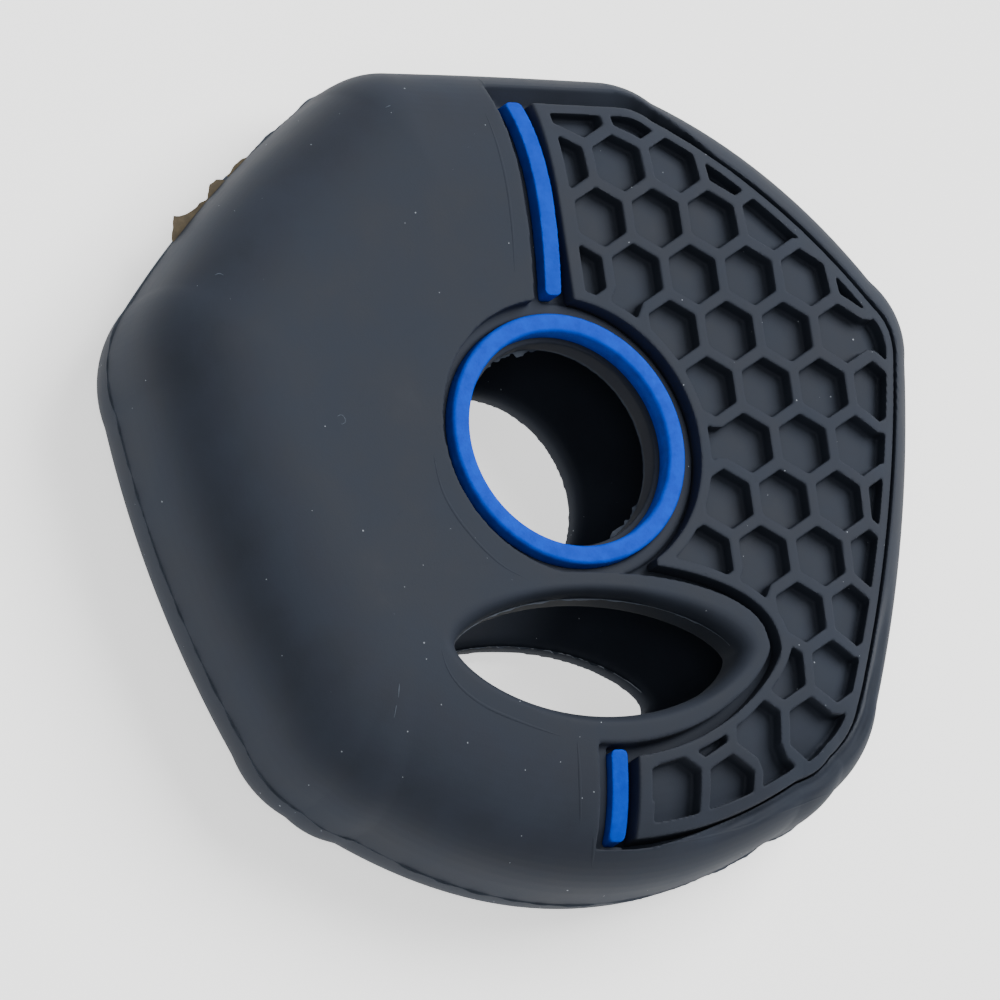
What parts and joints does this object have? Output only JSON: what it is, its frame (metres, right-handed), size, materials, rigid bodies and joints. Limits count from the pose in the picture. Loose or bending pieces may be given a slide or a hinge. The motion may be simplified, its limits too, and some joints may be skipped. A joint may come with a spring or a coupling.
{
  "type": "key fob cover",
  "caption": "Soft black sleeve for a pebble-shaped key fob, with a ringed button hole, a loop hole and a honeycomb grip panel.",
  "frame": {"origin": "middle of the bottom of the bounding box: the cover lies on its back face", "axes": "+Z out of the face, +Y toward the top edge of the face (away from the loop hole), +X right"},
  "size_m": [0.0588, 0.0572, 0.014],
  "materials": {
    "face_silicone": "matte moulded silicone",
    "back_silicone": "matte moulded silicone",
    "ring_silicone": "satin coloured silicone",
    "stripe_silicone": "satin coloured silicone",
    "grip_silicone": "matte moulded silicone"
  },
  "bodies": {
    "root": {"front_shell": "face_silicone", "rear_shell": "back_silicone", "button_ring": "ring_silicone", "upper_stripe": "stripe_silicone", "lower_stripe": "stripe_silicone", "grip_panel": "grip_silicone"}
  },
  "joints": []
}
